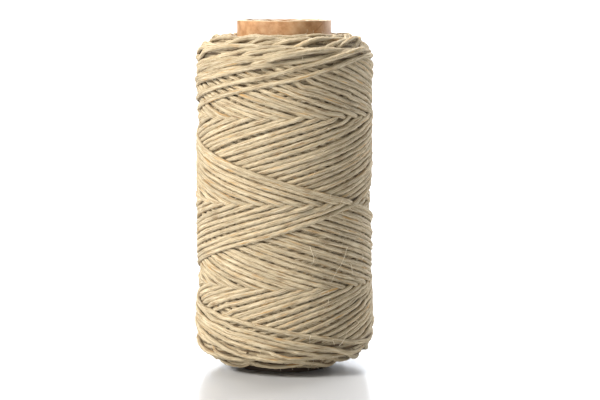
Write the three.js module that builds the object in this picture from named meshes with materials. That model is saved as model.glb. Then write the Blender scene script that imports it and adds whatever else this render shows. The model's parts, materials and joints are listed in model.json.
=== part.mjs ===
// A spool of natural hemp twine, cross-wound on a cardboard tube and standing on the tube's end.
// Millimetres, +Z up. The origin is the centre of the tube's foot, on the surface it stands on,
// and the spool's front faces -Y.
import * as THREE from "three";

// The cardboard tube.
const tubeLength = 100;
const tubeRadius = 13.5;
const tubeWall = 1.6;
const rimChamfer = 0.2;
const tubeSides = 96;

// The wound twine: a round-shouldered ring that grips the tube and leaves both its ends showing.
const windingRadius = 24.6;
const windingFoot = 1.8;
const windingTop = 96.5;
const shoulderHeight = 8;
const shoulderPower = 2.2;
const crestRadius = 15.8;
const crestDip = 0.9;
const boreGap = 0.3;

// How the twine travels. It climbs one pitch a turn, comes back the same way, and each pass lies
// a little further round than the last, so that a layer is a whole fan of crossing turns.
const windingPitch = 48.1;
const turnsPerPitch = 28;
const lastCrossingAngle = THREE.MathUtils.degToRad(-36);
// A turn of twine is one rib: two points on its rounded back and one in the groove beside it.
const rowsPerRib = 3;
const ribBack = 0.1;
const ribGroove = -0.55;
// The newest turns lie this much higher than the oldest ones beside them.
const layerStep = 0.7;
// Over this length the crossing ribs level out into rings, where the twine turns back.
const turnBackLength = 6;
const outlineSteps = 400;
// Keeps a turn that starts exactly on a grid point from being counted as the one before it.
const roundingGuard = 1e-6;

const windingMiddle = (windingTop + windingFoot) / 2;
const shoulderStart = windingTop - shoulderHeight - windingMiddle;
// One column of points for each turn in a pitch, so that every rib meets every column on a point.
const columns = turnsPerPitch;
const rowsPerPitch = turnsPerPitch * rowsPerRib;
const rowSpacing = windingPitch / rowsPerPitch;
const boreRadius = (tubeRadius + boreGap) / Math.cos(Math.PI / columns);

const cardboard = new THREE.MeshStandardMaterial({ color: 0xc9996f, roughness: 0.85, metalness: 0 });
const hemp = new THREE.MeshStandardMaterial({ color: 0xcdb88a, roughness: 0.9, metalness: 0 });

const fraction = (x) => x - Math.floor(x);

// A plain tube with a small chamfer on each edge of its two rims.
function makeTube() {
  const inner = tubeRadius - tubeWall;
  const outline = [
    [inner + rimChamfer, 0],
    [tubeRadius - rimChamfer, 0],
    [tubeRadius, rimChamfer],
    [tubeRadius, tubeLength - rimChamfer],
    [tubeRadius - rimChamfer, tubeLength],
    [inner + rimChamfer, tubeLength],
    [inner, tubeLength - rimChamfer],
    [inner, rimChamfer],
    [inner + rimChamfer, 0],
  ].map(([radius, height]) => new THREE.Vector2(radius, height));
  const geometry = new THREE.LatheGeometry(outline, tubeSides).rotateX(Math.PI / 2);
  const mesh = new THREE.Mesh(geometry, cardboard);
  mesh.name = "cardboard_tube";
  return mesh;
}

// The upper half of the winding's outline, from its middle up the side, over the shoulder and in
// to the tube. The shoulder is a quarter of a superellipse. Each point has its length from the middle.
function upperOutline() {
  const points = [{ length: 0, radius: windingRadius, height: windingMiddle }];
  const add = (radius, height) => {
    const last = points[points.length - 1];
    const length = last.length + Math.hypot(radius - last.radius, height - last.height);
    points.push({ length, radius, height });
  };
  for (let i = 0; i <= outlineSteps; i++) {
    const angle = (i / outlineSteps) * (Math.PI / 2);
    const across = Math.cos(angle) ** (2 / shoulderPower);
    const up = Math.sin(angle) ** (2 / shoulderPower);
    const radius = crestRadius + (windingRadius - crestRadius) * across;
    add(radius, windingTop - shoulderHeight * (1 - up));
  }
  add(boreRadius, windingTop - crestDip);
  return points;
}

// The outline's point at a length from the middle, and the direction that faces out of the winding.
function outlineAt(points, length) {
  const reach = Math.min(Math.abs(length), points[points.length - 1].length);
  let i = 1;
  while (points[i].length < reach) i++;
  const [a, b] = [points[i - 1], points[i]];
  const share = (reach - a.length) / (b.length - a.length);
  const radius = a.radius + (b.radius - a.radius) * share;
  const above = a.height + (b.height - a.height) * share - windingMiddle;
  const run = Math.hypot(b.radius - a.radius, b.height - a.height);
  const side = Math.sign(length) || 1;
  return {
    radius,
    height: windingMiddle + side * above,
    outward: (b.height - a.height) / run,
    upward: (-side * (b.radius - a.radius)) / run,
  };
}

// How new the climbing and the descending turns are at a place, from 0 for the oldest of the layer
// to 1 for the last. The newer of the two lies on top.
function newness(turn, row) {
  const climbing = fraction(turn - row / rowsPerPitch + roundingGuard);
  const descending = fraction(turn + row / rowsPerPitch + roundingGuard);
  return { climbing, descending, top: Math.max(climbing, descending) };
}

// 0 on the straight side, rising to 1 where the twine turns back and lies in rings.
function levelling(row) {
  const past = Math.abs(row) * rowSpacing - shoulderStart;
  return THREE.MathUtils.smoothstep(past / turnBackLength, 0, 1);
}

// How far the twine stands out of the outline at a point of the grid.
function relief(turn, row) {
  const { climbing, descending, top } = newness(turn, row);
  const onRib = (count) => (Math.round(count) % rowsPerRib === 0 ? ribGroove : ribBack);
  const crossed = onRib(top * rowsPerPitch) + layerStep * (climbing + descending - 1);
  return THREE.MathUtils.lerp(crossed, onRib(row), levelling(row));
}

// The number of rows that the ribs climb from one column to the next.
function ribClimb(turn, row) {
  if (levelling(row) > 0.5) return 0;
  const { climbing, descending } = newness(turn, row);
  return climbing > descending ? rowsPerRib : -rowsPerRib;
}

// The winding: columns of points that run up the outline, and between each two columns a strip of
// triangles whose edges follow the ribs. The bore closes it round the tube.
function makeWinding() {
  const outline = upperOutline();
  const halfLength = outline[outline.length - 1].length;
  const lastRow = Math.round(halfLength / rowSpacing);
  const rowCount = 2 * lastRow + 1;
  const positions = [];
  for (let column = 0; column < columns; column++) {
    const turn = column / columns;
    const angle = lastCrossingAngle + 2 * Math.PI * turn;
    for (let row = -lastRow; row <= lastRow; row++) {
      const atBore = Math.abs(row) === lastRow;
      const at = outlineAt(outline, atBore ? Math.sign(row) * halfLength : row * rowSpacing);
      const out = atBore ? 0 : relief(turn, row);
      const radius = at.radius + at.outward * out;
      const height = at.height + at.upward * out;
      positions.push(radius * Math.cos(angle), radius * Math.sin(angle), height);
    }
  }
  const point = (column, row) => (column % columns) * rowCount + row + lastRow;
  const faces = [];
  for (let column = 0; column < columns; column++) {
    let left = -lastRow;
    let right = -lastRow;
    while (left < lastRow || right < lastRow) {
      const climb = ribClimb((column + 0.5) / columns, (left + right) / 2);
      const raiseRight = left === lastRow || (right < lastRow && right - left < climb);
      faces.push(point(column, left), point(column + 1, right));
      if (raiseRight) faces.push(point(column + 1, ++right));
      else faces.push(point(column, ++left));
    }
    const [topLeft, topRight] = [point(column, lastRow), point(column + 1, lastRow)];
    const [footLeft, footRight] = [point(column, -lastRow), point(column + 1, -lastRow)];
    faces.push(topLeft, topRight, footLeft, footLeft, topRight, footRight);
  }
  const geometry = new THREE.BufferGeometry();
  geometry.setAttribute("position", new THREE.Float32BufferAttribute(positions, 3));
  geometry.setIndex(faces);
  geometry.computeVertexNormals();
  const mesh = new THREE.Mesh(geometry, hemp);
  mesh.name = "twine_winding";
  return mesh;
}

const spool = new THREE.Group();
spool.add(makeTube(), makeWinding());
export default spool;
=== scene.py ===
# A spool of natural hemp twine, cross-wound on a kraft paperboard tube, standing on a glossy white table.
# Lengths in the dictionaries are millimetres, angles are degrees and a turn is once round the tube.
import json
import math
import bpy
import numpy as np
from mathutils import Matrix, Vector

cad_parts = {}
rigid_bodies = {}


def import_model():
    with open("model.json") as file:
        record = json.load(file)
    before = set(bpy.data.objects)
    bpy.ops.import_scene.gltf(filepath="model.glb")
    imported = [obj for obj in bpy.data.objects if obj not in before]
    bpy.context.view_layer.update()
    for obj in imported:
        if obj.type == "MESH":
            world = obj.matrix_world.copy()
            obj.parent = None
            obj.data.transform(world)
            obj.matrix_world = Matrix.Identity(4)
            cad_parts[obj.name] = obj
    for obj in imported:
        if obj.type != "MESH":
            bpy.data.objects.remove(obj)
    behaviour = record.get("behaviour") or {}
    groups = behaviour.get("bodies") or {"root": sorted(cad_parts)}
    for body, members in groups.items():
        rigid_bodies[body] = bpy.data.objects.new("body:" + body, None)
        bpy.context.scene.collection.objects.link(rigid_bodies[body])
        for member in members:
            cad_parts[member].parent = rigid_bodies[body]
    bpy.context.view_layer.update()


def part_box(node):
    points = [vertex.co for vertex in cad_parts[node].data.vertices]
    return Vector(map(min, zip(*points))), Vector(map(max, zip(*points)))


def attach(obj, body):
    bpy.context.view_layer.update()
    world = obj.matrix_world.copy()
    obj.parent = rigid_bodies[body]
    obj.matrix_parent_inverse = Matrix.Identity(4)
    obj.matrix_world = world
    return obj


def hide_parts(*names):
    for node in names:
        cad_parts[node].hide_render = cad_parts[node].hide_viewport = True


for leftover in list(bpy.data.objects):  # Blender's own start-up cube, lamp and camera
    bpy.data.objects.remove(leftover)
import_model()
tubeLow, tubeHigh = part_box("cardboard_tube")

mm = 0.001
tubeLength = (tubeHigh[2] - tubeLow[2]) / mm
tubeRadius = (tubeHigh[0] - tubeLow[0]) / 2 / mm


def hexColour(code):
    # sRGB to linear: v / 12.92 when dark, else ((v + 0.055) / 1.055) to the power 2.4
    parts = [int(code[i:i + 2], 16) / 255 for i in (1, 3, 5)]
    return (*[v / 12.92 if v <= 0.04045 else ((v + 0.055) / 1.055) ** 2.4 for v in parts], 1.0)


def addNode(tree, kind, settings=None, **inputs):
    # an input is a socket's name, with _ for a space, or _ and its number where names repeat. It gets a
    # value, another node's output or another node, which stands for its first output.
    node = tree.nodes.new("ShaderNode" + kind)
    for name, value in (settings or {}).items():
        setattr(node, name, value)
    for name, value in inputs.items():
        numbered = name[1:].isdigit()
        socket = node.inputs[int(name[1:])] if numbered else node.inputs[name.replace("_", " ")]
        if isinstance(value, bpy.types.Node):
            value = value.outputs[0]
        if isinstance(value, bpy.types.NodeSocket):
            tree.links.new(value, socket)
        else:
            socket.default_value = value
    return node


noiseLow, noiseHigh = 0.3, 0.7  # most of a noise texture's values lie between these


def newMaterial(name):
    material = bpy.data.materials.new(name)
    material.use_nodes = True
    material.node_tree.nodes.clear()
    return material, material.node_tree


def makeObject(name, points, triangles, uv=None):
    # points in millimetres, triangles as rows of three point numbers, uv as one pair for each corner
    mesh = bpy.data.meshes.new(name)
    mesh.vertices.add(len(points))
    mesh.vertices.foreach_set("co", (np.asarray(points, float) * mm).ravel())
    mesh.loops.add(triangles.size)
    mesh.loops.foreach_set("vertex_index", triangles.ravel().astype(np.int32))
    mesh.polygons.add(len(triangles))
    mesh.polygons.foreach_set("loop_start", np.arange(0, triangles.size, 3, dtype=np.int32))
    mesh.polygons.foreach_set("use_smooth", np.full(len(triangles), True))
    if uv is not None:
        mesh.uv_layers.new(name="along").data.foreach_set("uv", np.asarray(uv, float).ravel())
    mesh.update(calc_edges=True)
    obj = bpy.data.objects.new(name, mesh)
    bpy.context.scene.collection.objects.link(obj)
    return obj


def closedGrid(rows, columns):
    # two triangles for each cell of a grid that closes on itself both ways
    i, j = np.arange(rows)[:, None], np.arange(columns)[None, :]
    nextRow, nextColumn = (i + 1) % rows, (j + 1) % columns
    a, b = i * columns + j, nextRow * columns + j
    c, d = nextRow * columns + nextColumn, i * columns + nextColumn
    return np.stack([a, b, c, a, c, d], -1).reshape(-1, 3)


def spread(values, sigma):
    # a row of values blurred with a bell curve of standard deviation sigma samples
    reach = int(3 * sigma) + 1
    bell = np.exp(-0.5 * (np.arange(-reach, reach + 1) / sigma) ** 2)
    padded = np.pad(values, (reach, reach), mode="edge")
    return np.convolve(padded, bell / bell.sum(), mode="valid")


def softNoise(random, count, sigma):
    # white noise blurred over sigma samples and scaled to a standard deviation of one
    noise = spread(random.standard_normal(count), sigma)
    return noise / noise.std()


# The winding's form, and how the traverse guide laid the twine on it
winding = {
    "foot": 1.8, "top": 96.0,  # where its ends are, above the surface
    "middle": 49.15,  # the height that lengths along the outline are counted from
    "radius": 25.35,  # of its straight side
    "topShoulder": {"height": 8.0, "power": 2.1, "crest": 15.8},
    "footShoulder": {"height": 8.0, "power": 1.95, "crest": 14.3},
    "crestDip": 0.9, "boreGap": 0.3,
    "quarterPoints": 600, "outlinePoints": 4000,
    "facingBlur": 18,  # outline points over which its facing is evened out
    "crestPoints": 500,  # points at each end that are never looked up by height
    "pitch": 48.1,  # climb in one turn
    "frontAngle": -36.0,  # where the last climbing and the last descending turn cross
    "cyclesPerLayer": 29.5,  # there-and-back trips before the fan of turns closes
    "cycles": 59,  # two whole layers are laid
    "layerStep": 0.7,  # the newest turns lie this much higher than the oldest beside them
    "stepEnd": 44.0, "stepFade": 8.0,  # how far from the middle it has faded, and over what length
    "topReversal": 40.9,  # how far from the middle the newest turn goes at each end
    "footReversal": 40.8,
    "olderReach": 2.8,  # older turns go this much further, most of it within a few cycles
    "olderCycles": 1.8,
    "reachDrift": 0.13,
    "reachScatter": 0.18, "scatterCycles": 4,  # how uneven that is, once they are this old
    "reachStart": 26.0, "reachPower": 1.6,  # where the older turns begin to part from the newest
    "footBulge": {"along": -33.0, "reach": 7.0, "rise": 0.4},
    "tailTurns": 0.3,  # the twine's end runs this far past the last reversal, tucked in
    "partings": [  # slits where turns lie apart: degrees from the front, height, push
        (12.0, 83.2, 0.8), (41.4, 72.8, 0.5), (46.2, 79.2, 0.35), (-39.0, 18.5, 0.45), (-35.8, 14.6, 0.45),
        (-54.2, 16.9, 0.35),
    ],
    "partingWidth": 0.4, "partingLength": 3.0,
    "twineDiameter": 1.5,
    "seed": 11,
}
middle = winding["middle"]
boreRadius = tubeRadius + winding["boreGap"]
twineRadius = winding["twineDiameter"] / 2
stepsPerTurn = 600  # samples of the route, and columns of the height map
cellSize = 0.15  # the height map's step along the outline


def halfOutline(shoulder, end):
    # straight up to the shoulder, then a quarter of (x/a)^n + (y/b)^n = 1, then a slope down to the tube
    angle = np.linspace(0, np.pi / 2, winding["quarterPoints"])
    across = np.cos(angle) ** (2 / shoulder["power"])
    up = np.sin(angle) ** (2 / shoulder["power"])
    radius = shoulder["crest"] + (winding["radius"] - shoulder["crest"]) * across
    height = end - shoulder["height"] * (1 - up)
    radius = np.concatenate([[winding["radius"]], radius, [boreRadius]])
    height = np.concatenate([[0], height, [end - winding["crestDip"]]])
    length = np.concatenate([[0], np.cumsum(np.hypot(np.diff(radius), np.diff(height)))])
    return length, radius, height


def makeOutline():
    # the winding's outline from its foot to its top, by length from the middle, with the way it faces
    footLength, footRadius, footHeight = halfOutline(winding["footShoulder"], middle - winding["foot"])
    topLength, topRadius, topHeight = halfOutline(winding["topShoulder"], winding["top"] - middle)
    length = np.concatenate([-footLength[:0:-1], topLength])
    even = np.linspace(length[0], length[-1], winding["outlinePoints"])
    radius = np.interp(even, length, np.concatenate([footRadius[:0:-1], topRadius]))
    height = np.interp(even, length, np.concatenate([-footHeight[:0:-1], topHeight]))
    outward = spread(np.gradient(height, even), winding["facingBlur"])
    upward = spread(-np.gradient(radius, even), winding["facingBlur"])
    size = np.hypot(outward, upward)
    return dict(length=even, radius=radius, height=height, outward=outward / size, upward=upward / size)


outline = makeOutline()
footEnd, topEnd = outline["length"][0], outline["length"][-1]


def onWinding(turn, along, rise):
    # the point at a turn and an outline length from the middle, raised along the outline's normal
    outward, upward, radius, height = [np.interp(along, outline["length"], outline[name])
                                       for name in ("outward", "upward", "radius", "height")]
    radius = radius + outward * rise
    angle = math.radians(winding["frontAngle"]) + 2 * np.pi * turn
    cosine, sine = np.cos(angle), np.sin(angle)
    points = np.stack([radius * cosine, radius * sine, middle + height + upward * rise], axis=-1)
    normals = np.stack([outward * cosine, outward * sine, upward], axis=-1)
    return points, normals


def fromFront(degrees):
    # an angle measured from the spool's front, turned into turns of the route
    return (degrees - 90 - winding["frontAngle"]) / 360


def mapColumn(turn):
    return np.round(turn * stepsPerTurn).astype(int) % stepsPerTurn


def mapCell(along):
    return np.round((along - footEnd) / cellSize).astype(int)


# How the guide travels, and how its travel turns into length along the outline
guide = {
    "free": 34.0,  # past this the twine runs ahead of it, over the shoulder
    "stretch": 0.262, "power": 1.5,
    "furthest": 60.0, "tablePoints": 1201,
    "approachShare": 0.68,  # share of a reversal's bend that comes before it
    # turns over which a reversal bends the line, for the newest, the one before it and the others
    "topEasing": (0.85, 0.5, 0.36), "footEasing": (0.42, 0.42, 0.42),
}


def guideToOutline(travel):
    # travel + stretch (|travel| - free)^power, with travel's sign, once it is past free
    past = np.maximum(np.abs(travel) - guide["free"], 0)
    return travel + np.sign(travel) * guide["stretch"] * past ** guide["power"]


def partTurns(turn, along, stroke):
    # along + push tanh(aside / width) exp(-(aside / length)^2 - (around / length)^2) for each parting,
    # under the newest turn
    push = np.zeros(len(along))
    length = winding["partingLength"]
    for degrees, height, size in winding["partings"]:
        around = ((turn - fromFront(degrees) + 0.5) % 1 - 0.5) * 2 * np.pi * winding["radius"]
        aside = along - (height - middle)
        near = np.exp(-(aside / length) ** 2 - (around / length) ** 2)
        push += size * np.tanh(aside / winding["partingWidth"]) * near
    return along + np.where(stroke < 2 * winding["cycles"] - 1, push, 0)


def layRoute(random):
    # Every turn of the twine as one row of samples, stepsPerTurn to the turn. A trip up follows
    # travel = pitch (turn - start) and a trip down pitch (start - turn), each in two turns and half a
    # creep. Near a reversal the line bends by the difference between a hyperbola and its asymptote,
    # pitch (sqrt(x^2 + c^2) - x), fading out as exp(-(x / easing)^4). Older turns reach further over the
    # shoulders.
    pitch, cycles = winding["pitch"], winding["cycles"]
    creep = 1 / winding["cyclesPerLayer"]
    age = np.arange(cycles - 1, -2, -1.0)
    old = np.maximum(age, 0)
    further = winding["olderReach"] * (1 - np.exp(-old / winding["olderCycles"]))
    further = further + winding["reachDrift"] * old
    unevenness = winding["reachScatter"] * np.minimum(old / winding["scatterCycles"], 1)
    topFurther = further + unevenness * random.uniform(-1, 1, len(age))
    footFurther = further + unevenness * random.uniform(-1, 1, len(age))
    table = np.linspace(0, guide["furthest"], guide["tablePoints"])
    topTravel, footTravel = np.interp([winding["topReversal"], winding["footReversal"]],
                                      guideToOutline(table), table)
    upStart = -(4 + creep) * age
    downStart = upStart - 2 - creep / 2
    topBend = (2 + creep / 2) - 2 * topTravel / pitch
    footBend = (2 + creep / 2) - 2 * footTravel / pitch
    before, after = guide["approachShare"], 1 - guide["approachShare"]
    topTurn = upStart + topTravel / pitch + before * topBend
    footTurn = downStart + footTravel / pitch + before * footBend
    which = np.minimum(old, 2).astype(int)
    topEasing, footEasing = [np.array(guide[name])[which] for name in ("topEasing", "footEasing")]

    def bend(x, c, easing):
        return pitch * (np.sqrt(x * x + c * c) - x) * np.exp(-(x / easing) ** 4)

    first = math.ceil((footTurn[0] - 1) * stepsPerTurn)
    last = int((topTurn[cycles - 1] + winding["tailTurns"]) * stepsPerTurn)
    turn = np.arange(first, last + 1) / stepsPerTurn
    travel = np.zeros(len(turn))
    more = np.zeros(len(turn))
    stroke = np.zeros(len(turn), int)
    for trip in range(cycles + 1):
        down = turn <= footTurn[trip]
        if trip > 0:
            down &= turn > topTurn[trip - 1]
            travel[down] = -bend(turn[down] - topTurn[trip - 1], after * topBend, topEasing[0])
        footApproach = bend(footTurn[trip] - turn[down], before * footBend, footEasing[trip])
        travel[down] += pitch * (downStart[trip] - turn[down]) + footApproach
        stroke[down] = 2 * trip
        more[down] = np.where(travel[down] > 0, topFurther[trip - 1], footFurther[trip])
        up = (turn > footTurn[trip]) & (turn <= topTurn[trip])
        footLeave = bend(turn[up] - footTurn[trip], after * footBend, footEasing[0])
        travel[up] = pitch * (turn[up] - upStart[trip]) + footLeave
        travel[up] -= bend(topTurn[trip] - turn[up], before * topBend, topEasing[trip])
        stroke[up] = 2 * trip + 1
        more[up] = np.where(travel[up] > 0, topFurther[trip], footFurther[trip])
    apex = np.where(travel > 0, topTravel, footTravel)
    share = np.clip((np.abs(travel) - winding["reachStart"]) / (apex - winding["reachStart"]), 0, 1)
    return turn, travel, np.sign(travel) * more * share ** winding["reachPower"], stroke


# Where older layers turned back: arcs laid from the tube outwards, each further round
turnBacks = {
    "count": 46, "advance": 0.29,  # how many at each end, and turns from one to the next
    "inner": 1.6, "outer": 10.0,  # how far they lie from the tube, along the outline
    "halfTurn": 0.24,  # turns to each side of an arc's middle
    "tailDrop": 1.0, "tailTurn": 0.1,  # how far it has dropped, this many turns from there
    "turnScatter": 0.012, "reachScatter": 0.12,
}


def layTurnBacks(random):
    # along = reach - tailDrop (x / tailTurn)^2, where x is the turn from the arc's middle
    count, scatter = turnBacks["count"], turnBacks["turnScatter"]
    half = round(turnBacks["halfTurn"] * stepsPerTurn)
    x = np.arange(-half, half + 1) / stepsPerTurn
    drop = turnBacks["tailDrop"] * (x / turnBacks["tailTurn"]) ** 2
    number = np.arange(count)
    turns, places, strokes = [], [], []
    for side, end in ((1, topEnd), (-1, -footEnd)):
        centre = number * turnBacks["advance"] + random.uniform(-scatter, scatter, count)
        centre = np.round(centre * stepsPerTurn) / stepsPerTurn
        uneven = random.uniform(-turnBacks["reachScatter"], turnBacks["reachScatter"], count)
        reach = end - np.linspace(turnBacks["inner"], turnBacks["outer"], count) + uneven
        turns.append((centre[:, None] + x).ravel())
        places.append(side * (reach[:, None] - drop).ravel())
        strokes.append(np.repeat(number + (0 if side > 0 else count), len(x)) - 2 * count)
    return np.concatenate(turns), np.concatenate(places), np.concatenate(strokes)


# The twine itself, and how it settles on the turns below it
twine = {
    "wander": 0.16, "wanderReach": 14.0,  # sideways drift, and the length over which it changes
    "slowWander": 0.12, "slowReach": 60.0,
    "thickness": 0.08, "thicknessReach": 9.0,  # share by which its radius comes and goes
    "contactShare": 0.55,  # it rests this far from the mean to the highest of the cells under it,
    "sink": 0.1,  # and its middle lies this far above that
    "bridge": 1.0,  # a taut strand lifts off this far from a high place
    "bearingCells": 3, "backCells": 9,  # cells to each side that carry it, and that its back covers
    "leadIn": 8, "settleBlur": 2,  # bridges added to a part's ends, and samples blurred
    "baseDepth": 3.4,  # how far below the surface the first turns lie, before it is corrected
    "hollow": 0.22,  # mean depth of the grooves below the turns' backs
    "passes": 8, "correction": 0.8, "correctionBlur": 14,  # lowerings of the base, and cells blurred
    "baseLimit": 8.0, "finishBlur": 8,
    "steepest": 3.0,  # a steeper step is a jump from one arc to the next
    "wide": 1.02, "tall": 0.92, "squareness": 2.25,  # soft twine under tension: flat-backed, not round
    "lay": 4.4, "plyGroove": 0.16, "groovePower": 1.5,
    "sides": 10, "ringStep": 2, "ringsEach": 9400,  # samples from ring to ring, and rings in a piece
    "tuck": 1.7, "tuckLength": 6.0,  # how deep its end is pushed in, and over what length
    "seenCells": 3, "seenDepth": 0.3,  # it shows where it is less than this below its neighbours
    "hiddenMargin": 6, "shortestRun": 4,  # samples kept past that, and most in a run left out
}


def layTwine(route, radius, base):
    # Drops the strokes on the height map one after another. A sample rests on the cells under its middle,
    # at mean + contactShare (highest - mean) + sink, the resting heights are widened and blurred along the
    # strand as a taut one would be, and the cells under it rise to its back,
    # rise + tall radius (1 - (distance / (wide radius))^n)^(1/n).
    turn, along, stroke, lean = route
    heights = base.copy()
    cells = heights.shape[1]
    rise = np.zeros(len(turn))
    columns = mapColumn(turn)
    centre = (along - footEnd) / cellSize
    near = np.arange(-twine["bearingCells"], twine["bearingCells"] + 1)
    far = np.arange(-twine["backCells"], twine["backCells"] + 1)
    stepLength = 2 * np.pi * winding["radius"] / stepsPerTurn
    widen = max(1, round(twine["bridge"] / stepLength))
    lead = twine["leadIn"] * widen
    tuckSteps = round(twine["tuckLength"] / stepLength)
    power = twine["squareness"]
    ends = np.flatnonzero(np.diff(stroke)) + 1
    for part in np.split(np.arange(len(turn)), ends):
        trip = stroke[part[0]]
        # the same strand goes on before and after this part, except round the turn-backs
        ahead = part[-1] + 1 + np.arange(lead if trip >= 0 else 0)
        whole = np.concatenate([part, ahead[ahead < len(turn)]])
        index = np.clip(np.round(centre[whole]).astype(int)[:, None] + near, 0, cells - 1)
        below = heights[columns[whole][:, None], index]
        average = below.mean(axis=1)
        bearing = average + twine["contactShare"] * (below.max(axis=1) - average) + twine["sink"]
        behind = rise[part[0] - lead:part[0]] if trip > 0 else np.full(lead, bearing[0])
        bearing = np.concatenate([behind, bearing])
        padded = np.pad(bearing, widen, mode="edge")
        widened = np.lib.stride_tricks.sliding_window_view(padded, 2 * widen + 1).max(axis=1)
        settled = spread(np.maximum(spread(widened, widen), bearing), twine["settleBlur"])
        settled = settled[lead:lead + len(part)]
        if trip == 2 * winding["cycles"]:
            toEnd = np.clip(np.arange(len(part)) - len(part) + tuckSteps, 0, None)
            settled -= twine["tuck"] * toEnd / tuckSteps
        rise[part] = settled
        column, middleCell = columns[part], centre[part]
        index = np.round(middleCell).astype(int)[:, None] + far
        distance = np.abs(index - middleCell[:, None]) * cellSize * lean[part][:, None]
        size = radius[part][:, None]
        share = np.minimum(distance / (size * twine["wide"]), 1)
        back = settled[:, None] + size * twine["tall"] * (1 - share ** power) ** (1 / power)
        under = (share < 1) & (index >= 0) & (index < cells)
        rows = np.broadcast_to(column[:, None], index.shape)[under]
        heights[rows, index[under]] = np.maximum(heights[rows, index[under]], back[under])
    return rise, heights


def blurMap(field, sigma):
    # a height map blurred both ways, round the spool without a seam
    reach = int(3 * sigma)
    bell = np.exp(-0.5 * (np.arange(-reach, reach + 1) / sigma) ** 2)
    bell /= bell.sum()
    wrapped = np.pad(field, ((reach, reach), (reach, reach)), mode="edge")
    wrapped[:reach, reach:-reach] = field[-reach:]
    wrapped[-reach:, reach:-reach] = field[:reach]
    for axis in (0, 1):
        wrapped = np.apply_along_axis(lambda line: np.convolve(line, bell, mode="same"), axis, wrapped)
    return wrapped[reach:-reach, reach:-reach]


def surfaceAimedAt():
    # layerStep (climbing + descending - 1), where each is how new the topmost turn that way is from 0 to 1,
    # fading out over the shoulders, and a bell-shaped bulge by the foot
    cells = int((topEnd - footEnd) / cellSize) + 1
    place = np.arange(cells) * cellSize + footEnd
    around = np.arange(stepsPerTurn) / stepsPerTurn
    climbing = (around[:, None] - place / winding["pitch"]) % 1
    descending = (around[:, None] + place / winding["pitch"]) % 1
    fade = np.clip((winding["stepEnd"] - np.abs(place)) / winding["stepFade"], 0, 1)
    aim = winding["layerStep"] * (climbing + descending - 1) * (fade * fade * (3 - 2 * fade))
    bulge = winding["footBulge"]
    return aim + bulge["rise"] * np.exp(-((place - bulge["along"]) / bulge["reach"]) ** 2)


def windTwine():
    # Lays the whole route again and again, on a base that is lower wherever the last came out too high
    random = np.random.default_rng(winding["seed"])
    backTurn, backAlong, backStroke = layTurnBacks(random)
    turn, travel, reach, stroke = layRoute(random)
    perMm = stepsPerTurn / (2 * np.pi * winding["radius"])
    wander = twine["wander"] * softNoise(random, len(turn), twine["wanderReach"] * perMm / 2)
    wander += twine["slowWander"] * softNoise(random, len(turn), twine["slowReach"] * perMm / 2)
    turn = np.concatenate([backTurn, turn])
    along = np.concatenate([backAlong, guideToOutline(travel + wander) + reach])
    stroke = np.concatenate([backStroke, stroke])
    along = np.clip(partTurns(turn, along, stroke), footEnd + 1, topEnd - 1)
    uneven = softNoise(random, len(turn), twine["thicknessReach"] * perMm / 2)
    radius = twineRadius * (1 + twine["thickness"] * uneven)
    girth = np.interp(along, outline["length"], outline["radius"])
    slope = np.gradient(along, 1 / stepsPerTurn) / (2 * np.pi * girth)
    slope[np.abs(slope) > twine["steepest"]] = 0
    lean = 1 / np.sqrt(1 + slope ** 2)

    aim = surfaceAimedAt()
    base = aim - twine["baseDepth"]
    route = (turn, along, stroke, lean)
    for _ in range(twine["passes"]):
        rise, heights = layTwine(route, radius, base)
        surplus = blurMap(heights - aim, twine["correctionBlur"]) + twine["hollow"]
        base = np.maximum(base - twine["correction"] * surplus, -twine["baseLimit"])
    rise, heights = layTwine(route, radius, base)
    # what is left of broad lumps is taken from the strands and the map alike
    surplus = blurMap(heights - aim, twine["finishBlur"]) + twine["hollow"]
    rise = rise - surplus[mapColumn(turn), mapCell(along)]
    return turn, along, stroke, radius, rise, heights - surplus


turn, along, stroke, radius, rise, heights = windTwine()
print("twine laid:", len(turn), "samples; height map", heights.shape,
      "from", heights.min().round(2), "to", heights.max().round(2))


def findRuns():
    # runs of samples where the twine can be seen, and a little more at both ends, under its neighbours
    beside = twine["seenCells"]
    cell = np.clip(mapCell(along), beside, heights.shape[1] - 1 - beside)
    surface = np.min([heights[mapColumn(turn), cell + shift] for shift in (-beside, 0, beside)], axis=0)
    seen = rise + radius * twine["tall"] > surface - twine["seenDepth"]
    margin = twine["hiddenMargin"]
    padded = np.pad(seen, margin, mode="edge")
    near = np.lib.stride_tricks.sliding_window_view(padded, 2 * margin + 1).any(axis=1)
    nextArc = (np.diff(stroke) != 0) & (stroke[:-1] < 0)
    cuts = np.flatnonzero((np.diff(near.astype(int)) != 0) | nextArc) + 1
    starts = np.concatenate([[0], cuts])
    stops = np.concatenate([cuts, [len(turn)]])
    return [(a, b) for a, b in zip(starts, stops) if near[a] and b - a > twine["shortestRun"]], seen


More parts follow.
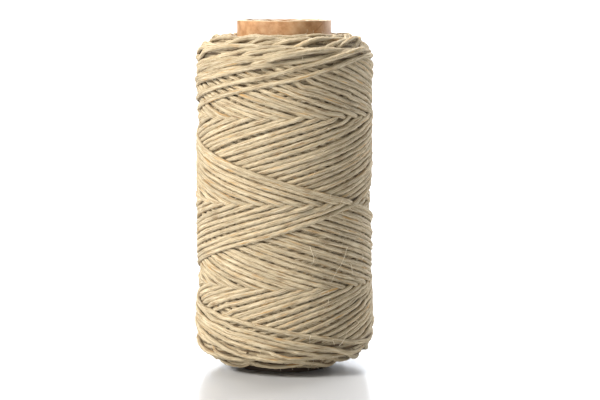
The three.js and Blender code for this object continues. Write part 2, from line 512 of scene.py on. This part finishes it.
def ringTriangles(run, u):
    # triangles and uv of the tubes whose rings have the run numbers in run and the lengths u: walls
    # between rings of one run, and a fan of triangles over each of its two ends
    sides = twine["sides"]
    linked = np.flatnonzero(run[:-1] == run[1:])[:, None]
    j = np.arange(sides)[None, :]
    nextJ = (j + 1) % sides
    a, b = linked * sides + j, linked * sides + nextJ
    c, d = (linked + 1) * sides + nextJ, (linked + 1) * sides + j
    u0, u1 = u[linked] + 0 * j, u[linked + 1] + 0 * j
    v0, v1 = j / sides + 0 * linked, (j + 1) / sides + 0 * linked
    walls = np.stack([a, b, d, b, c, d], -1).reshape(-1, 3)
    wallUv = np.stack([u0, v0, u0, v1, u1, v0, u0, v1, u1, v1, u1, v0], -1).reshape(-1, 2)
    opening = np.flatnonzero(np.diff(run, prepend=-1))[:, None] * sides
    closing = np.flatnonzero(np.diff(run, append=run[-1] + 1))[:, None] * sides
    k = np.arange(1, sides - 1)[None, :]
    startCaps = np.stack([opening + 0 * k, opening + k + 1, opening + k], -1).reshape(-1, 3)
    endCaps = np.stack([closing + 0 * k, closing + k, closing + k + 1], -1).reshape(-1, 3)
    caps = np.concatenate([startCaps, endCaps])
    capUv = np.stack([u[caps // sides], np.full(caps.shape, 0.5)], -1).reshape(-1, 2)
    return np.concatenate([walls, caps]), np.concatenate([wallUv, capUv])


def makeTurns():
    # The section is a squarish ellipse, r = ((|cos| / tall)^n + (|sin| / wide)^n)^(-1/n), times
    # 1 - plyGroove (1 - |cos(angle + twist)|)^groovePower for the groove between its two plies, and the
    # groove turns once in each lay as the section is carried along the route
    runs, seen = findRuns()
    points, normals = onWinding(turn, along, rise)
    pathStep = np.linalg.norm(np.diff(points, axis=0), axis=1)
    length = np.concatenate([[0], np.cumsum(pathStep)])
    tangent = np.gradient(points, axis=0)
    tangent /= np.linalg.norm(tangent, axis=1)[:, None]
    outward = normals - (normals * tangent).sum(axis=1)[:, None] * tangent
    outward /= np.linalg.norm(outward, axis=1)[:, None]
    sideways = np.cross(tangent, outward)

    ringsOfRuns = [np.append(np.arange(a, b - 1, twine["ringStep"]), b - 1) for a, b in runs]
    rings = np.concatenate(ringsOfRuns)
    run = np.repeat(np.arange(len(runs)), [len(own) for own in ringsOfRuns])
    sides, power = twine["sides"], twine["squareness"]
    angle = 2 * np.pi * np.arange(sides) / sides - np.pi
    twist = 2 * np.pi * length[rings, None] / twine["lay"]
    flat = (np.abs(np.cos(angle)) / twine["tall"]) ** power
    flat = flat + (np.abs(np.sin(angle)) / twine["wide"]) ** power
    groove = twine["plyGroove"] * (1 - np.abs(np.cos(angle + twist))) ** twine["groovePower"]
    size = radius[rings, None] * flat ** (-1 / power) * (1 - groove)
    across = (size * np.sin(angle))[:, :, None] * sideways[rings, None, :]
    up = (size * np.cos(angle))[:, :, None] * outward[rings, None, :]
    shell = points[rings, None, :] + across + up
    print("runs:", len(runs), "rings:", len(rings))

    # a piece ends where one run ends and the next begins
    ends = np.flatnonzero(np.diff(run)) + 1
    cuts = [0]
    while len(rings) - cuts[-1] > twine["ringsEach"]:
        cuts.append(int(ends[ends <= cuts[-1] + twine["ringsEach"]][-1]))
    cuts.append(len(rings))
    pieces = []
    for number, (first, last) in enumerate(zip(cuts[:-1], cuts[1:])):
        triangles, uv = ringTriangles(run[first:last], length[rings[first:last]] * mm)
        name = f"twine_turns_{number + 1}"
        pieces.append(makeObject(name, shell[first:last].reshape(-1, 3), triangles, uv))
    return pieces, dict(points=points, outward=outward, sideways=sideways, tangent=tangent, seen=seen)


turnPieces, path = makeTurns()
print("twine pieces:", [len(piece.data.polygons) for piece in turnPieces])


# The turns further in, that no gap shows clearly
filling = {
    "depth": 1.3, "blur": 4,  # how far under the twine's surface it lies, and cells blurred
    "hollowDepth": 1.15, "hollowBlur": 12,
    "shoulderRise": 0.4,  # it lies this much higher past the sides
    "shoulderFrom": 38.0, "shoulderOver": 4.0,
    "endDepth": 3.5,  # at its two ends it is sunk this far, on to the tube
    "step": 4,  # columns and cells of the height map from point to point
}


def makeFilling():
    # the higher of two blurs of the height map, each sunk by its depth, and lifted over the shoulders
    step = filling["step"]
    columns = np.arange(0, stepsPerTurn, step)
    cells = np.append(np.arange(0, heights.shape[1] - 2, step), heights.shape[1] - 1)
    sunk = np.maximum(blurMap(heights, filling["blur"]) - filling["depth"],
                      blurMap(heights, filling["hollowBlur"]) - filling["hollowDepth"])
    fromMiddle = np.abs(np.arange(heights.shape[1]) * cellSize + footEnd)
    past = np.clip((fromMiddle - filling["shoulderFrom"]) / filling["shoulderOver"], 0, 1)
    sunk += filling["shoulderRise"] * past
    depth = sunk[np.ix_(columns, cells)]
    place = cells * cellSize + footEnd
    place[-1] = topEnd
    depth[:, [0, -1]] = -filling["endDepth"]
    turns = np.broadcast_to((columns / stepsPerTurn)[:, None], depth.shape)
    places = np.broadcast_to(place[None, :], depth.shape)
    points, _ = onWinding(turns, places, depth)
    radial = np.hypot(points[..., 0], points[..., 1])
    points[..., :2] *= (np.maximum(radial, boreRadius) / radial)[..., None]
    # v goes up by one for each strand's width, so that it is striped like the turns
    n, m = depth.shape
    i, j = np.arange(n)[:, None], np.arange(m)[None, :]
    stripe = winding["twineDiameter"]
    width = 2 * np.pi * winding["radius"] / n * mm
    u0, u1 = i * width + 0 * j, (i + 1) * width + 0 * j
    v0, v1 = place[j] / stripe + 0 * i, place[(j + 1) % m] / stripe + 0 * i
    uv = np.stack([u0, v0, u1, v0, u1, v1, u0, v0, u1, v1, u0, v1], -1).reshape(-1, 2)
    return makeObject("twine_core", points.reshape(-1, 3), closedGrid(n, m), uv)


innerTurns = makeFilling()
print("filling:", len(innerTurns.data.polygons))


# Unbleached hemp: soft two-ply twine, matt, pale straw with darker and orange-brown fibres along it
hemp = {
    "dark": "#86694A", "straw": "#C2B292", "pale": "#DDD0B5",
    "darkAt": 0.34, "strawAt": 0.49, "paleAt": 0.66,
    "fibreLength": 5.0, "fibreWidth": 0.2,  # one fibre's streak
    "patchLength": 14.0, "patchesRound": 3,  # lighter and darker lengths
    "patchShade": (0.78, 1.12),  # their brightness
    "rust": "#C0924F",
    "fleckLength": 9.0, "flecksRound": 5,  # orange-brown flecks
    "fleckShift": (3, 7, 0),  # so that they don't follow the patches
    "fleckFrom": 0.6, "fleckTo": 0.74, "fleckShare": 0.8,
    # painted shade: the strands' sides and undersides are darkened towards this brown, standing in for the
    # shade in the grooves between turns
    "side": "#59402A", "grooveShadeFrom": 0.12, "grooveShadeTo": 0.37, "grooveShadeShare": 0.75,
    "roughness": 0.85, "ior": 1.47, "bump": 0.6, "bumpDepth": 0.12,
}


def makeHemp():
    material, tree = newMaterial("unbleached_hemp_twine")
    around = math.pi * winding["twineDiameter"]
    uv = addNode(tree, "UVMap", {"uv_map": "along"})
    fibreScale = (1 / (hemp["fibreLength"] * mm), around / hemp["fibreWidth"], 1)
    fibreMap = addNode(tree, "Mapping", Vector=uv, Scale=fibreScale)
    streak = addNode(tree, "TexNoise", Vector=fibreMap, Scale=1.0, Detail=3.0, Roughness=0.6)
    patchScale = (1 / (hemp["patchLength"] * mm), hemp["patchesRound"], 1)
    patchMap = addNode(tree, "Mapping", Vector=uv, Scale=patchScale)
    patches = addNode(tree, "TexNoise", Vector=patchMap, Scale=1.0)
    fleckScale = (1 / (hemp["fleckLength"] * mm), hemp["flecksRound"], 1)
    fleckMap = addNode(tree, "Mapping", Vector=uv, Scale=fleckScale, Location=hemp["fleckShift"])
    flecks = addNode(tree, "TexNoise", Vector=fleckMap, Scale=1.0)

    tones = addNode(tree, "ValToRGB", Fac=streak)
    ramp = tones.color_ramp.elements
    ramp[0].position, ramp[0].color = hemp["darkAt"], hexColour(hemp["dark"])
    ramp[1].position, ramp[1].color = hemp["paleAt"], hexColour(hemp["pale"])
    ramp.new(hemp["strawAt"]).color = hexColour(hemp["straw"])
    low, high = hemp["patchShade"]
    shade = addNode(tree, "MapRange", Value=patches, From_Min=noiseLow, From_Max=noiseHigh, To_Min=low,
                    To_Max=high)
    toned = addNode(tree, "VectorMath", {"operation": "SCALE"}, _0=tones, Scale=shade)
    rust = addNode(tree, "MapRange", Value=flecks, From_Min=hemp["fleckFrom"], From_Max=hemp["fleckTo"],
                   To_Max=hemp["fleckShare"])
    flecked = addNode(tree, "Mix", {"data_type": "RGBA"}, _0=rust, _6=toned, _7=hexColour(hemp["rust"]))
    # v is a half on the strand's back and 0 or 1 underneath: its sides and underside are darkened towards a
    # brown, painted shade for the grooves where neighbours touch
    axes = addNode(tree, "SeparateXYZ", Vector=uv)
    folded = addNode(tree, "Math", {"operation": "PINGPONG"}, _0=axes.outputs["Y"], _1=0.5)
    # painted shade in the grooves: darkest at the strand's sides and underneath, none on its back
    side = addNode(tree, "MapRange", Value=folded, From_Min=hemp["grooveShadeFrom"], From_Max=hemp["grooveShadeTo"],
                   To_Min=hemp["grooveShadeShare"], To_Max=0)
    colour = addNode(tree, "Mix", {"data_type": "RGBA", "blend_type": "MULTIPLY"}, _0=side,
                     _6=flecked.outputs[2], _7=hexColour(hemp["side"]))
    relief = addNode(tree, "Bump", Height=streak, Strength=hemp["bump"], Distance=hemp["bumpDepth"] * mm)
    shader = addNode(tree, "BsdfPrincipled", Base_Color=colour.outputs[2], Roughness=hemp["roughness"],
                     IOR=hemp["ior"], Normal=relief)
    addNode(tree, "OutputMaterial", Surface=shader)
    return material


hempMaterial = makeHemp()
for piece in turnPieces + [innerTurns]:
    piece.data.materials.append(hempMaterial)
    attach(piece, "root")
    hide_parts("twine_winding")


# Kraft paperboard: a spirally wound tube, its outer ply's edge showing as a seam that climbs round it
tube = {
    "wall": 1.6, "sides": 192,  # thickness, and points round it
    "edge": 0.15, "corner": 0.3,  # rounding of the cut edges, and its share that is off their middle
    "rimPoints": 7,
    "rows": (0.4, 0.8, 1.2, 1.8, 2.4, 3.2, 4.0, 5.0, 7.0, 12.0, 22.0, 35.0),  # from either end
    "middleRow": 50,
    "unevenness": 0.04, "waves": (2, 5, 9),  # dents in the wall, and how many go round it
    "burr": 0.07, "burrHeight": 0.5,  # the ragged height of the top rim, and how far down it goes
    "burrBlur": 1.2, "burrStart": 20,  # points round it: its line starts and ends at the back
    # the darkest brown here is painted shade for the tube's foot, under the winding's overhang
    "kraft": "#C4966B", "pale": "#D3AC83", "shade": "#A97A4F", "cut": "#E6D2B2", "footShade": "#3B2C1F",
    "mottleScale": 420.0, "cloudScale": 130.0,  # to the metre: 2 mm mottling, and 8 mm clouds
    "cloudShade": (0.86, 1.1),
    "seamClimb": 57.0, "seamAngle": 58.0, "seamWidth": 0.35, "seamRelief": 1.5,
    "cutFrom": 0.25, "cutTo": 0.05,  # below the top, where the pale cut board starts and is whole
    "footShadeTo": 1.5, "unshadedFrom": 4.0,  # above the surface: the painted shade at the foot is whole up to the first and gone by the second
    "roughness": 0.6, "ior": 1.5, "bump": 0.3, "bumpDepth": 0.08,
    "seed": 5,
}


def makeTube():
    # A closed outline of the wall turned round the axis, with a wave added to the radius for each count of
    # dents, sin(count angle + height / (5 + 3 count) + count^2), and a ragged line to the top rim
    random = np.random.default_rng(tube["seed"])
    inner, edge, corner = tubeRadius - tube["wall"], tube["edge"], tube["edge"] * tube["corner"]
    ends = np.array([edge, *tube["rows"]])
    wallRows = np.concatenate([ends, [tube["middleRow"]], tubeLength - ends[::-1]])
    rimRows = np.linspace(inner + edge, tubeRadius - edge, tube["rimPoints"])
    section = [(tubeRadius, z) for z in wallRows] + [(tubeRadius - corner, tubeLength - corner)]
    section += [(r, tubeLength) for r in rimRows[::-1]] + [(inner + corner, tubeLength - corner)]
    section += [(inner, z) for z in wallRows[::-1]] + [(inner + corner, corner)]
    section += [(r, 0.0) for r in rimRows] + [(tubeRadius - corner, corner)]
    across, up = np.array(section).T[:, None, :]
    angle = 2 * np.pi * np.arange(tube["sides"])[:, None] / tube["sides"]
    waves = tube["waves"]
    wave = sum(np.sin(k * angle + up / (5 + 3 * k) + k * k) for k in waves) / len(waves)
    wallRadius = across + tube["unevenness"] * wave
    ragged = np.roll(softNoise(random, tube["sides"], tube["burrBlur"]), tube["burrStart"])
    atTop = np.clip((up - tubeLength + tube["burrHeight"]) / tube["burrHeight"], 0, 1)
    height = up + tube["burr"] * ragged[:, None] * atTop
    points = np.stack([wallRadius * np.cos(angle), wallRadius * np.sin(angle), height], -1)
    return makeObject("kraft_tube_wall", points.reshape(-1, 3), closedGrid(*height.shape))


def makeKraft():
    material, tree = newMaterial("kraft_paperboard")
    place = addNode(tree, "TexCoord").outputs["Object"]
    mottle = addNode(tree, "TexNoise", Vector=place, Scale=tube["mottleScale"], Detail=4.0, Roughness=0.6)
    cloud = addNode(tree, "TexNoise", Vector=place, Scale=tube["cloudScale"], Detail=2.0)
    tones = addNode(tree, "ValToRGB", Fac=mottle)
    ramp = tones.color_ramp.elements
    ramp[0].position, ramp[0].color = noiseLow, hexColour(tube["shade"])
    ramp[1].position, ramp[1].color = noiseHigh, hexColour(tube["pale"])
    ramp.new((noiseLow + noiseHigh) / 2).color = hexColour(tube["kraft"])
    low, high = tube["cloudShade"]
    shade = addNode(tree, "MapRange", Value=cloud, From_Min=noiseLow, From_Max=noiseHigh, To_Min=low,
                    To_Max=high)
    toned = addNode(tree, "VectorMath", {"operation": "SCALE"}, _0=tones, Scale=shade)
    # the seam: the angle in turns less the height's share of a climb, folded to 0 at the line
    axes = addNode(tree, "SeparateXYZ", Vector=place)
    angle = addNode(tree, "Math", {"operation": "ARCTAN2"}, _0=axes.outputs["Y"], _1=axes.outputs["X"])
    turns = addNode(tree, "Math", {"operation": "MULTIPLY_ADD"}, _0=angle, _1=1 / (2 * math.pi),
                    _2=-tube["seamAngle"] / 360)
    climb = addNode(tree, "Math", {"operation": "MULTIPLY_ADD"}, _0=axes.outputs["Z"],
                    _1=-1 / (tube["seamClimb"] * mm), _2=turns)
    folded = addNode(tree, "Math", {"operation": "PINGPONG"}, _0=climb, _1=0.5)
    seam = addNode(tree, "MapRange", Value=folded, From_Max=tube["seamWidth"] / tube["seamClimb"])
    seamed = addNode(tree, "Mix", {"data_type": "RGBA"}, _0=seam, _6=hexColour(tube["shade"]), _7=toned)
    rim = addNode(tree, "MapRange", Value=axes.outputs["Z"], From_Min=(tubeLength - tube["cutFrom"]) * mm,
                  From_Max=(tubeLength - tube["cutTo"]) * mm)
    rimmed = addNode(tree, "Mix", {"data_type": "RGBA"}, _0=rim, _6=seamed.outputs[2],
                     _7=hexColour(tube["cut"]))
    # painted shade: darker towards the foot, where the winding's overhang shades it
    # painted shade: the foot's mask, one at the bottom and nothing a few millimetres up
    foot = addNode(tree, "MapRange", Value=axes.outputs["Z"], From_Min=tube["footShadeTo"] * mm,
                   From_Max=tube["unshadedFrom"] * mm, To_Min=1, To_Max=0)
    colour = addNode(tree, "Mix", {"data_type": "RGBA"}, _0=foot, _6=rimmed.outputs[2],
                     _7=hexColour(tube["footShade"]))
    height = addNode(tree, "Math", {"operation": "MULTIPLY_ADD"}, _0=seam, _1=tube["seamRelief"], _2=mottle)
    relief = addNode(tree, "Bump", Height=height, Strength=tube["bump"], Distance=tube["bumpDepth"] * mm)
    shader = addNode(tree, "BsdfPrincipled", Base_Color=colour.outputs[2], Roughness=tube["roughness"],
                     IOR=tube["ior"], Normal=relief)
    addNode(tree, "OutputMaterial", Surface=shader)
    return material


tubeWall = makeTube()
tubeWall.data.materials.append(makeKraft())
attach(tubeWall, "root")
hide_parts("cardboard_tube")
print("tube:", len(tubeWall.data.polygons))


# Fibres that have worked loose: short ones everywhere, more on the right, and the few that can be made out
fibres = {
    "count": 1500, "points": 7,
    "length": (0.7, 3.4), "lengthShape": (1.3, 3.0),  # range, and shape of the beta distribution in it
    "thickness": 0.04, "thicknessShares": (0.7, 1.3),
    "rightShare": 0.45, "right": (15, 110),  # share of them on the right side, and where it is
    "tufts": [  # degrees from the front, height, count
        (88, 87.5, 80), (84, 93.5, 60), (86, 12.5, 60), (60, 93.0, 50), (-4, 2.4, 10), (90, 60, 25),
        (90, 35, 25),
    ],
    "tuftSamples": 60,  # a tuft grows from this many of the nearest samples
    "degreeWidth": 0.43,  # about how many millimetres a degree is
    "root": 0.8,  # share of the strand's radius that it starts at
    "lift": (0.1, 0.6), "aside": 0.4,  # how far it leaves the strand at first
    "stray": 0.5, "bow": 0.6,  # and how far it bends from that
    "wave": 0.06, "waves": 1.5,
    "taper": 0.4,
    "colour": "#F0E6D0", "translucency": 0.35, "roughness": 0.6, "ior": 1.53,
    "marked": [  # each a line of places, degrees from the front and height
        [(44.1, 36.8), (41.4, 34.2), (37.9, 31.6), (34.5, 30.0), (31.2, 27.0)],
        [(16.6, 37.8), (17.3, 36.6), (19.0, 34.8), (19.2, 33.4), (17.6, 32.3)],
        [(47.8, 31.8), (48.1, 30.6), (50.5, 28.2)],
        [(60.6, 34.0), (61.0, 33.1), (60.6, 32.0)],
        [(37.0, 9.1), (39.4, 10.1), (42.3, 11.6), (43.3, 12.5)],
        [(16.8, 12.8), (16.0, 11.8), (16.4, 10.5)],
        [(32.0, 10.7), (32.5, 10.0), (33.3, 9.4)],
        [(52.2, 15.4), (54.0, 14.9), (55.4, 14.3)],
        [(29.0, 22.5), (28.9, 21.8), (29.1, 21.1)],
        [(12.1, 90.6), (12.0, 90.0), (11.7, 89.3)],
    ],
    "markedThickness": 0.1, "markedLift": 0.4, "markedStart": 0.15,
    "seed": 23,
}


def placeFibres(random):
    # the samples of the twine that they start from
    seen = np.flatnonzero(path["seen"])
    points = path["points"][seen]
    degrees = np.degrees(np.arctan2(points[:, 0], -points[:, 1]))
    low, high = fibres["right"]
    onRight = np.flatnonzero((degrees > low) & (degrees < high))
    many = int(fibres["count"] * fibres["rightShare"])
    chosen = [random.integers(0, len(seen), fibres["count"] - many), random.choice(onRight, many)]
    for angle, height, count in fibres["tufts"]:
        away = np.hypot((degrees - angle) * fibres["degreeWidth"], points[:, 2] - height)
        chosen.append(random.choice(np.argsort(away)[:fibres["tuftSamples"]], count))
    return seen[np.concatenate(chosen)]


def growFibres(random):
    # start + size (t first + bow t^2 (second - first)) and a slow wave sideways: each starts along the
    # strand and turns towards a way of its own
    start = placeFibres(random)
    n = len(start)
    tangent, outward, sideways = [path[name][start] for name in ("tangent", "outward", "sideways")]
    low, high = fibres["lift"]
    first = random.choice([-1.0, 1.0], n)[:, None] * tangent
    first = first + random.uniform(low, high, n)[:, None] * outward
    first = first + random.normal(0, fibres["aside"], n)[:, None] * sideways
    second = random.normal(0, 1, (n, 3)) + fibres["stray"] * outward
    first /= np.linalg.norm(first, axis=1)[:, None]
    second /= np.linalg.norm(second, axis=1)[:, None]
    low, high = fibres["length"]
    size = (low + (high - low) * random.beta(*fibres["lengthShape"], n))[:, None, None]
    t = np.linspace(0, 1, fibres["points"])[None, :, None]
    base = path["points"][start] + outward * (radius[start] * fibres["root"])[:, None]
    lines = base[:, None] + size * (t * first[:, None] + fibres["bow"] * t * t * (second - first)[:, None])
    slow = np.sin(2 * np.pi * (fibres["waves"] * t + random.uniform(0, 1, (n, 1, 1))))
    lines = lines + size * fibres["wave"] * slow * sideways[:, None]
    return lines, fibres["thickness"] * random.uniform(*fibres["thicknessShares"], n)


def layMarked(line):
    # a fibre that lies across the turns, through places given from the front, and above them by
    # markedLift sin(pi x), where x goes from markedStart to 1
    line = np.array(line)
    even = np.linspace(0, len(line) - 1, fibres["points"])
    turns = fromFront(np.interp(even, np.arange(len(line)), line[:, 0]))
    height = np.interp(even, np.arange(len(line)), line[:, 1])
    side = slice(winding["crestPoints"], -winding["crestPoints"])
    places = np.interp(height - middle, outline["height"][side], outline["length"][side])
    top = heights[mapColumn(turns), mapCell(places)].max()
    lift = fibres["markedLift"] * np.sin(np.pi * np.linspace(fibres["markedStart"], 1, fibres["points"]))
    return onWinding(turns, places, top + lift)[0]


def makeFibres():
    # three-sided tubes along the lines, tapered and closed at both ends
    random = np.random.default_rng(fibres["seed"])
    lines, thickness = growFibres(random)
    marked = [layMarked(line) for line in fibres["marked"]]
    lines = np.concatenate([lines, np.array(marked)])
    thickness = np.concatenate([thickness, np.full(len(marked), fibres["markedThickness"])])
    n, k = lines.shape[:2]
    ahead = np.gradient(lines, axis=1)
    ahead /= np.linalg.norm(ahead, axis=2)[..., None]
    across = np.cross(ahead, [0.31, 0.52, 0.79])  # a way that no fibre is likely to run
    across /= np.linalg.norm(across, axis=2)[..., None]
    up = np.cross(ahead, across)
    size = (thickness[:, None] * np.linspace(1, fibres["taper"], k))[..., None]
    corner = 2 * np.pi * np.arange(3) / 3
    shell = lines[:, :, None] + (size * np.cos(corner))[..., None] * across[:, :, None]
    shell = shell + (size * np.sin(corner))[..., None] * up[:, :, None]
    line = np.arange(n)[:, None, None] * k * 3
    ring = np.arange(k - 1)[None, :, None] * 3
    j = np.arange(3)[None, None, :]
    a, b = line + ring + j, line + ring + (j + 1) % 3
    walls = np.stack([a, b, a + 3, b, b + 3, a + 3], -1).reshape(-1, 3)
    base = np.arange(n)[:, None] * k * 3
    caps = np.concatenate([base + [0, 2, 1], base + (k - 1) * 3 + [0, 1, 2]])
    return makeObject("stray_hemp_fibres", shell.reshape(-1, 3), np.concatenate([walls, caps]))


def makeFibreMaterial():
    # pale and half clear, so each shows as a fine light line
    material, tree = newMaterial("loose_hemp_fibre")
    shader = addNode(tree, "BsdfPrincipled", Base_Color=hexColour(fibres["colour"]),
                     Roughness=fibres["roughness"], IOR=fibres["ior"])
    clear = addNode(tree, "BsdfTranslucent", Color=hexColour(fibres["colour"]))
    both = addNode(tree, "MixShader", Fac=fibres["translucency"], _1=shader, _2=clear)
    addNode(tree, "OutputMaterial", Surface=both)
    return material


strayFibres = makeFibres()
strayFibres.data.materials.append(makeFibreMaterial())
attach(strayFibres, "root")
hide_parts("twine_winding")
print("fibres:", len(strayFibres.data.polygons))


# Cast acrylic: white and smooth, with a soft mirror image
sweep = {
    "halfWidth": 3200, "front": 1800, "back": 2600, "rise": 2600, "corner": 900, "cornerPoints": 24,
    "white": "#CDD0D5", "roughness": 0.22, "ior": 1.49,
}


def makeStage():
    # a floor that curves up into a backdrop: flat, a quarter circle, then upright
    back, corner = sweep["back"], sweep["corner"]
    curve = np.linspace(0, np.pi / 2, sweep["cornerPoints"])
    y = np.concatenate([[-sweep["front"]], back - corner + corner * np.sin(curve), [back]])
    z = np.concatenate([[0], corner - corner * np.cos(curve), [sweep["rise"]]])
    points = np.concatenate([np.stack([np.full(len(y), x), y, z], -1)
                             for x in (-sweep["halfWidth"], sweep["halfWidth"])])
    n = len(y)
    i = np.arange(n - 1)
    triangles = np.concatenate([np.stack([i, i + n, i + n + 1], -1), np.stack([i, i + n + 1, i + 1], -1)])
    floor = makeObject("studio_floor", points, triangles)
    material, tree = newMaterial("white_acrylic_sheet")
    shader = addNode(tree, "BsdfPrincipled", Base_Color=hexColour(sweep["white"]),
                     Roughness=sweep["roughness"], IOR=sweep["ior"])
    addNode(tree, "OutputMaterial", Surface=shader)
    floor.data.materials.append(material)


makeStage()

# Where the photographer stood
shot = {
    "distance": 605, "height": 113, "aside": 4.55, "tiltDown": 6.13,
    "lens": 126.2, "sensor": 36, "near": 50, "far": 20000,
}


def makeCamera():
    data = bpy.data.cameras.new("camera")
    data.lens, data.sensor_width = shot["lens"], shot["sensor"]
    data.clip_start, data.clip_end = shot["near"] * mm, shot["far"] * mm
    camera = bpy.data.objects.new("camera", data)
    camera.location = (shot["aside"] * mm, -shot["distance"] * mm, shot["height"] * mm)
    camera.rotation_euler = (math.radians(90 - shot["tiltDown"]), 0, 0)
    bpy.context.scene.collection.objects.link(camera)
    bpy.context.scene.camera = camera


lamps = {
    # name: place, aim, width, watts, colour
    "key": ((-1080, -625, 925), (0, 0, 50), 450, 29.5, "#FFF9F0"),
    "fill": ((700, -900, 1100), (0, 0, 50), 700, 2.2, "#FFFCF6"),
    "low": ((-300, -900, 120), (0, 0, 5), 220, 1.5, "#FFFCF6"),
    "edge": ((800, 900, 350), (0, 0, 50), 500, 9.0, "#FFFFFF"),
    "backdrop": ((0, 1300, 1900), (0, 2500, 200), 1800, 140, "#FFFFFF"),
}
roomLight = 0.12  # what the white room itself gives, all round


def makeLights():
    for name, (place, target, width, power, colour) in lamps.items():
        data = bpy.data.lights.new(name, "AREA")
        data.size, data.energy, data.color = width * mm, power, hexColour(colour)[:3]
        lamp = bpy.data.objects.new(name, data)
        lamp.location = np.array(place) * mm
        aim = (np.array(target) - np.array(place)) * mm
        lamp.rotation_euler = Vector(aim).to_track_quat("-Z", "Y").to_euler()
        bpy.context.scene.collection.objects.link(lamp)
    world = bpy.data.worlds.new("white_room")
    world.use_nodes = True
    background = world.node_tree.nodes["Background"]
    background.inputs["Color"].default_value = (1, 1, 1, 1)
    background.inputs["Strength"].default_value = roomLight
    bpy.context.scene.world = world
    bpy.context.scene.view_settings.view_transform = "Standard"


makeCamera()
makeLights()
